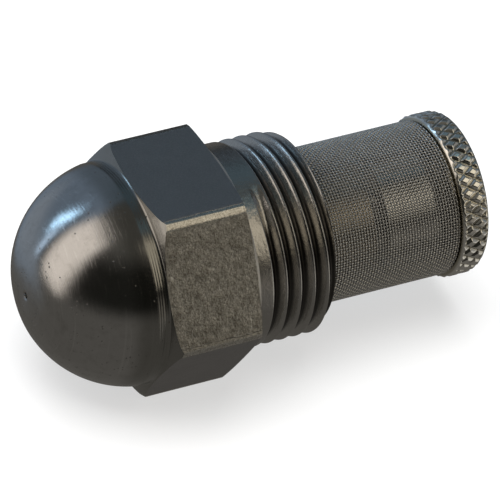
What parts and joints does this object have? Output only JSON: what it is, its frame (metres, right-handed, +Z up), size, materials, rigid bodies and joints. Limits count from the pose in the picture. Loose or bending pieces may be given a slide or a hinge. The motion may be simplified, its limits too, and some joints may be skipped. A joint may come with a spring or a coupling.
{
  "type": "oil burner nozzle",
  "caption": "Pressure-jet oil burner nozzle: domed hexagon body on a threaded shank, with a screw-in wire mesh strainer closed by a knurled cap.",
  "frame": {"origin": "centre of the box that holds the part, on the plane it lies on, which is one flat of the hexagon", "axes": "+X along the nozzle's axis from the spray orifice towards the strainer cap, +Z up and square to the flat it lies on, +Y across the axis to the left of +X"},
  "size_m": [0.0328, 0.0182, 0.0158],
  "materials": {
    "turned_stainless": "turned stainless steel, dark satin with fine lathe lines",
    "plug_stainless": "ground stainless steel",
    "screw_brass": "turned brass",
    "washer_copper": "soft copper",
    "fitting_brass": "turned brass",
    "core_alloy": "bright turned light alloy",
    "woven_stainless": "fine woven stainless wire",
    "cap_nickel": "nickel-plated brass, diamond knurled"
  },
  "bodies": {
    "nozzle": {"nozzle_body": "turned_stainless"},
    "swirl_plug": {"swirl_plug": "plug_stainless"},
    "lock_screw": {"lock_screw": "screw_brass"},
    "strainer_seal": {"sealing_washer": "washer_copper"},
    "strainer": {"strainer_fitting": "fitting_brass", "strainer_core": "core_alloy", "mesh_screen": "woven_stainless", "end_cap": "cap_nickel"}
  },
  "joints": [
    {"name": "lock_screw_withdraw", "type": "slide", "parent": "nozzle", "child": "swirl_plug", "axis": [1, 0, 0], "range_m": [0, 0.00436]},
    {"name": "lock_screw_turn", "type": "hinge", "parent": "swirl_plug", "child": "lock_screw", "pos_m": [-0.00569, 0, 0.00788], "axis": [1, 0, 0], "range_deg": [0, 1980]},
    {"name": "strainer_withdraw", "type": "slide", "parent": "nozzle", "child": "strainer_seal", "axis": [1, 0, 0], "range_m": [0, 0.00555]},
    {"name": "strainer_turn", "type": "hinge", "parent": "strainer_seal", "child": "strainer", "pos_m": [0.0038, 0, 0.00788], "axis": [1, 0, 0], "range_deg": [0, 2520]}
  ],
  "couplings": [
    {"joint": "lock_screw_turn", "follows": "lock_screw_withdraw", "rad_per_m": 7915.8},
    {"joint": "strainer_turn", "follows": "strainer_withdraw", "rad_per_m": 7915.8}
  ]
}
